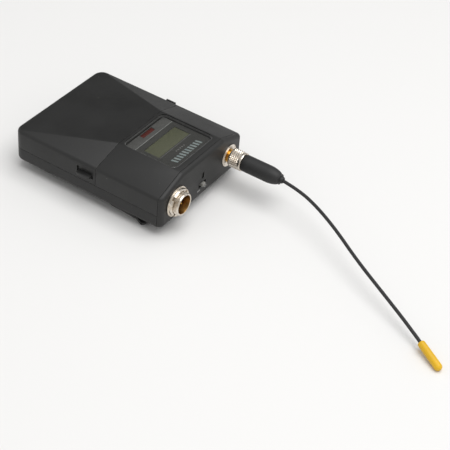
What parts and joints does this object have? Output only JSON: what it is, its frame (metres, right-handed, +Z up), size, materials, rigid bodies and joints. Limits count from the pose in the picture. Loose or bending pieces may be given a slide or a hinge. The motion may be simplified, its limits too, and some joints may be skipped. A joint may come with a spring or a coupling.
{
  "type": "wireless bodypack transmitter",
  "caption": "Faceted black bodypack transmitter lying on its belt clip, with a display window, a battery door, an audio socket and a screw-on whip antenna with a tip cap.",
  "frame": {"origin": "on the surface the pack lies on, under the middle of the box of everything but the antenna's boot, whip and tip", "axes": "+X along the pack's length towards the connectors and antenna, +Y across its width towards the antenna side, +Z up, out of the display"},
  "size_m": [0.2268, 0.0698, 0.0276],
  "materials": {
    "case_plastic": "fine-textured black moulded plastic",
    "window_acrylic": "smoked clear acrylic, polished",
    "mask_black": "black printed mask",
    "indicator_red": "dark red translucent plastic",
    "lcd_glass": "olive reflective liquid crystal glass",
    "white_plastic": "natural white moulding",
    "circuit_board": "green solder mask",
    "tinned_steel": "tin-plated sheet",
    "chip_black": "moulded epoxy",
    "nickel": "nickel-plated brass, satin",
    "gold": "gold-plated brass",
    "ptfe": "white fluoropolymer",
    "insulator_amber": "dark amber moulding",
    "boot_rubber": "matte black rubber",
    "whip_jacket": "satin black jacket over a steel wire",
    "tip_yellow": "soft yellow vinyl",
    "steel": "plain steel",
    "clip_metal": "black powder-coated spring steel",
    "foam": "black open-cell foam",
    "battery_jacket": "printed metal jacket",
    "black_screw": "black oxide steel"
  },
  "bodies": {
    "case": {"back_shell": "case_plastic", "front_cover": "case_plastic", "end_panel": "case_plastic", "door_hinge_pins": "steel", "battery_case": "battery_jacket", "battery_studs": "tinned_steel", "contact_block": "chip_black", "contact_springs": "tinned_steel", "control_deck": "case_plastic", "key_switches": "tinned_steel", "trimmer_base": "chip_black", "display_window": "window_acrylic", "display_mask": "mask_black", "indicator_window": "indicator_red", "lcd_glass": "lcd_glass", "lcd_holder": "white_plastic", "display_board": "circuit_board", "main_board": "circuit_board", "board_screws": "steel", "rf_shield": "tinned_steel", "board_chips": "chip_black", "audio_socket": "nickel", "socket_nut": "nickel", "socket_insulator": "insulator_amber", "socket_pins": "gold", "antenna_jack": "gold", "jack_ring": "nickel", "jack_insulator": "ptfe", "jack_contact": "gold", "switch_body": "chip_black", "status_light": "window_acrylic", "clip_bracket": "clip_metal", "clip_pin": "steel", "clip_spring": "steel", "clip_screws": "black_screw", "case_screws": "black_screw"},
    "door": {"battery_door": "case_plastic", "door_pad": "foam", "latch_pins": "steel"},
    "latch_near": {"door_latch_near": "case_plastic"},
    "latch_far": {"door_latch_far": "case_plastic"},
    "clip": {"belt_clip": "clip_metal"},
    "antenna": {"antenna_ferrule": "gold", "antenna_pin": "gold", "antenna_boot": "boot_rubber", "antenna_whip": "whip_jacket", "antenna_tip": "tip_yellow"},
    "nut": {"antenna_nut": "nickel"},
    "switch": {"switch_knob": "white_plastic"},
    "select": {"select_button": "white_plastic"},
    "set": {"set_button": "white_plastic"},
    "trimmer": {"gain_trimmer": "white_plastic"}
  },
  "joints": [
    {"name": "door_hinge", "type": "hinge", "parent": "case", "child": "door", "pos_m": [-0.04765, 0, 0.0122], "axis": [0, -1, 0], "range_deg": [0, 95]},
    {"name": "latch_near_press", "type": "hinge", "parent": "door", "child": "latch_near", "pos_m": [-0.00865, -0.03, 0.0181], "axis": [0, 0, 1], "range_deg": [0, 6], "stiffness_Nm_per_rad": 0.02, "springref_deg": -5.73},
    {"name": "latch_far_press", "type": "hinge", "parent": "door", "child": "latch_far", "pos_m": [-0.00865, 0.03, 0.0181], "axis": [0, 0, -1], "range_deg": [0, 6], "stiffness_Nm_per_rad": 0.02, "springref_deg": -5.73},
    {"name": "clip_hinge", "type": "hinge", "parent": "case", "child": "clip", "pos_m": [-0.02385, 0, 0.0022], "axis": [0, 1, 0], "range_deg": [0, 12], "stiffness_Nm_per_rad": 0.5, "springref_deg": -17.19},
    {"name": "power_slide", "type": "slide", "parent": "case", "child": "switch", "axis": [0, 1, 0], "range_m": [-0.0016, 0.0016]},
    {"name": "select_press", "type": "slide", "parent": "case", "child": "select", "axis": [0, 0, -1], "range_m": [0, 0.0006], "stiffness_N_per_m": 500, "springref_m": -0.0004},
    {"name": "set_press", "type": "slide", "parent": "case", "child": "set", "axis": [0, 0, -1], "range_m": [0, 0.0006], "stiffness_N_per_m": 500, "springref_m": -0.0004},
    {"name": "gain_turn", "type": "hinge", "parent": "case", "child": "trimmer", "pos_m": [-0.03435, -0.016, 0.0117], "axis": [0, 0, 1], "range_deg": [-135, 135]},
    {"name": "antenna_travel", "type": "slide", "parent": "case", "child": "antenna", "axis": [1, 0, 0], "range_m": [0, 0.00353]},
    {"name": "antenna_nut_turn", "type": "hinge", "parent": "antenna", "child": "nut", "pos_m": [0.04315, 0.0212, 0.0161], "axis": [1, 0, 0], "range_deg": [0, 1800]}
  ],
  "couplings": [
    {"joint": "antenna_nut_turn", "follows": "antenna_travel", "rad_per_m": 8904.7}
  ]
}
